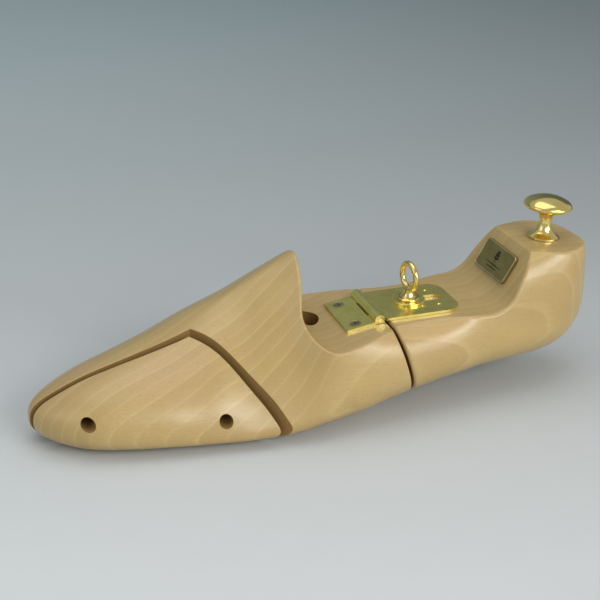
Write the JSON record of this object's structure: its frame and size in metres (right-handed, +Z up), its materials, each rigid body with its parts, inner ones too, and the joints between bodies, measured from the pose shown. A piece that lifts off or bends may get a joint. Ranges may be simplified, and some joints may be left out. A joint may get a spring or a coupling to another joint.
{
  "type": "shoe tree",
  "caption": "Hinged wooden shoe tree with a split toe and sprung side wing, a brass hinge plate clamped by a ring bolt, and a brass knob on the heel.",
  "frame": {"origin": "centre of the bounding box at the sole plane, Z = 0 under the forepart's flat sole", "axes": "+Z up, +X from toe to heel, +Y towards the big-toe side; a left shoe's tree"},
  "size_m": [0.2786, 0.083, 0.093],
  "materials": {
    "wood": "satin",
    "sheet_brass": "satin",
    "polished_brass": "polished",
    "screw_brass": "satin",
    "steel": "brushed",
    "label_bronze": "satin",
    "label_backing": "matte"
  },
  "bodies": {
    "forepart": {"forepart": "wood", "guide_pin_front": "sheet_brass", "guide_pin_rear": "sheet_brass", "bolt_washer": "sheet_brass", "front_leaf": "sheet_brass", "leaf_screw_outer": "screw_brass", "leaf_screw_inner": "screw_brass", "hinge_pin": "sheet_brass", "wing_spring": "steel"},
    "wing": {"toe_wing": "wood", "wing_insert": "sheet_brass", "wing_bolt": "steel"},
    "hinge_plate": {"slotted_plate": "sheet_brass"},
    "heel": {"heel_block": "wood", "heel_insert": "sheet_brass", "knob": "polished_brass", "knob_stud": "sheet_brass", "label_plate": "label_bronze", "label_pad": "label_backing"},
    "ring_bolt": {"ring_bolt": "polished_brass"},
    "clamp_washer": {"clamp_washer": "sheet_brass"}
  },
  "joints": [
    {"name": "wing_press", "type": "slide", "parent": "forepart", "child": "wing", "axis": [0, 1, 0], "range_m": [0, 0.0025], "stiffness_N_per_m": 800, "springref_m": -0.004, "deforming": ["wing_spring"]},
    {"name": "heel_fold", "type": "hinge", "parent": "forepart", "child": "hinge_plate", "pos_m": [0.0242, -0.0038, 0.0474], "axis": [0, -1, 0], "range_deg": [0, 70]},
    {"name": "heel_length", "type": "slide", "parent": "hinge_plate", "child": "heel", "axis": [1, 0, 0], "range_m": [0, 0.013]},
    {"name": "ring_lift", "type": "slide", "parent": "heel", "child": "clamp_washer", "axis": [0, 0, 1], "range_m": [0, 0.0005]},
    {"name": "ring_turn", "type": "hinge", "parent": "clamp_washer", "child": "ring_bolt", "pos_m": [0.0453, -0.0038, 0.049], "axis": [0, 0, 1], "range_deg": [0, 180]}
  ],
  "couplings": [
    {"joint": "ring_turn", "follows": "ring_lift", "rad_per_m": 6283.2}
  ]
}
